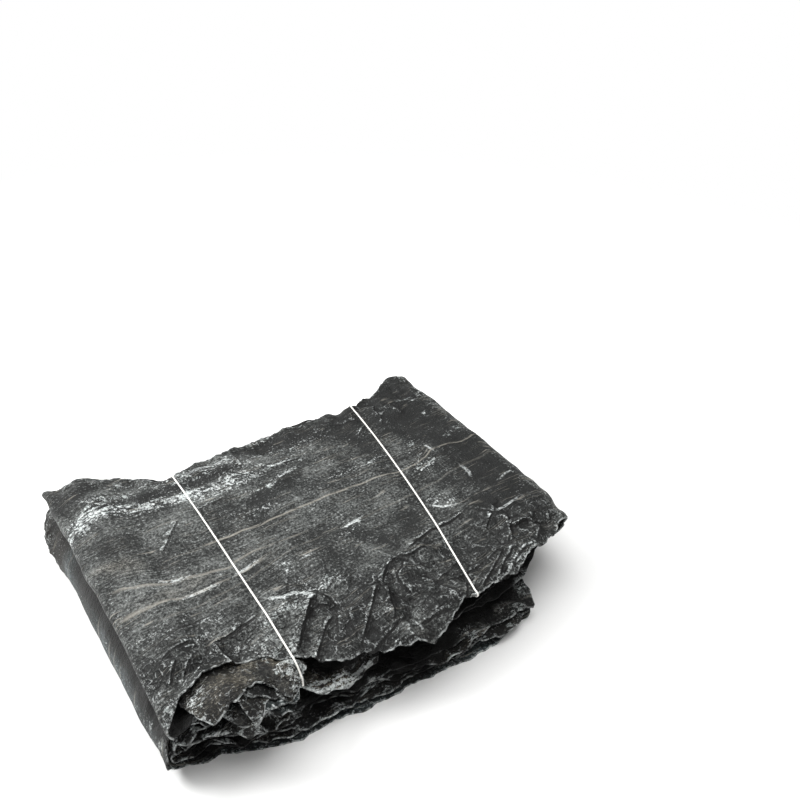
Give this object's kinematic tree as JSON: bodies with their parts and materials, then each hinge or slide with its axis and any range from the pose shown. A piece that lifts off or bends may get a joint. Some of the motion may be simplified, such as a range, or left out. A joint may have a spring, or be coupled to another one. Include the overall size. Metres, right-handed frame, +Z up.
{
  "type": "dried kelp bundle",
  "caption": "Dried kelp blades laid together, folded into a flat Z-shaped bundle and held by cotton threads, resting on its broad side.",
  "frame": {"origin": "centre of the bounding box's bottom, on the surface the bundle rests on", "axes": "+X along the blades' length, +Y across the blades towards their back margins, +Z up out of the broad side"},
  "size_m": [0.2962, 0.2388, 0.0531],
  "materials": {
    "kelp_bloomed": "dry leathery blade, near-black green grey with white salt bloom and beige ribs",
    "kelp_brown": "dry thin blade margin, brown grey and crumpled",
    "kelp_dark": "dry leathery blade, near black",
    "kelp_grey": "dry leathery blade, cool dark grey with fine ribs",
    "cotton_thread": "twisted white cotton"
  },
  "bodies": {
    "root": {"blade_outer_upper": "kelp_bloomed", "blade_brown_edged": "kelp_brown", "blade_middle": "kelp_dark", "blade_front_lobes": "kelp_brown", "blade_outer_lower": "kelp_grey", "thread_left": "cotton_thread", "thread_right": "cotton_thread"}
  },
  "joints": []
}
